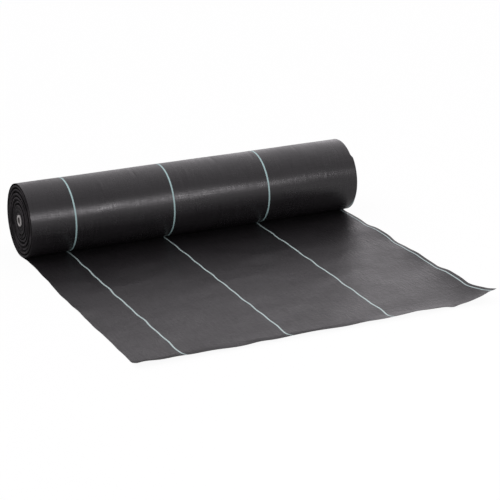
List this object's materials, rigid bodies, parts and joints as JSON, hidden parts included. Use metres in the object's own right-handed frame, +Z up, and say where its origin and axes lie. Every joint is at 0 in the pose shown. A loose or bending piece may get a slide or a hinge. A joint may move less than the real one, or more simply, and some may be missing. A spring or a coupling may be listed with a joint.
{
  "type": "roll of weed control fabric",
  "caption": "Black woven ground cover fabric wound on a cardboard core, its free end laid out flat, with pale marker tapes woven along it; the roll travels and turns as it unrolls.",
  "frame": {"origin": "on the ground, in the middle of the line where the roll stands, at rest", "axes": "+X along the roll's axis, to the right as seen from the laid end; +Y away from the laid end, the way the roll travels as it unrolls; +Z up"},
  "size_m": [1.014, 0.9743, 0.2078],
  "materials": {
    "woven_web": "black woven plastic tape, satin",
    "marker_tape": "pale green woven plastic tape, satin",
    "cardboard": "grey wound board, matte",
    "clear_tape": "brown adhesive tape, glossy"
  },
  "bodies": {
    "laid_end": {"laid_web": "woven_web", "laid_marker_1": "marker_tape", "laid_marker_2": "marker_tape", "laid_marker_3": "marker_tape", "laid_marker_4": "marker_tape"},
    "under_roll": {"web_under_roll": "woven_web", "marker_under_roll_1": "marker_tape", "marker_under_roll_2": "marker_tape", "marker_under_roll_3": "marker_tape", "marker_under_roll_4": "marker_tape"},
    "roll": {"core_tube": "cardboard", "starting_tape": "clear_tape", "wound_web": "woven_web", "wound_marker_1": "marker_tape", "wound_marker_2": "marker_tape", "wound_marker_3": "marker_tape", "wound_marker_4": "marker_tape"}
  },
  "joints": [
    {"name": "roll_travel", "type": "slide", "parent": "laid_end", "child": "under_roll", "axis": [0, 1, 0], "range_m": [0, 0.64]},
    {"name": "roll_turn", "type": "hinge", "parent": "under_roll", "child": "roll", "pos_m": [0, 0, 0.10475], "axis": [1, 0, 0], "range_deg": [-357, 0]}
  ],
  "couplings": [
    {"joint": "roll_turn", "follows": "roll_travel", "rad_per_m": -9.7087}
  ]
}
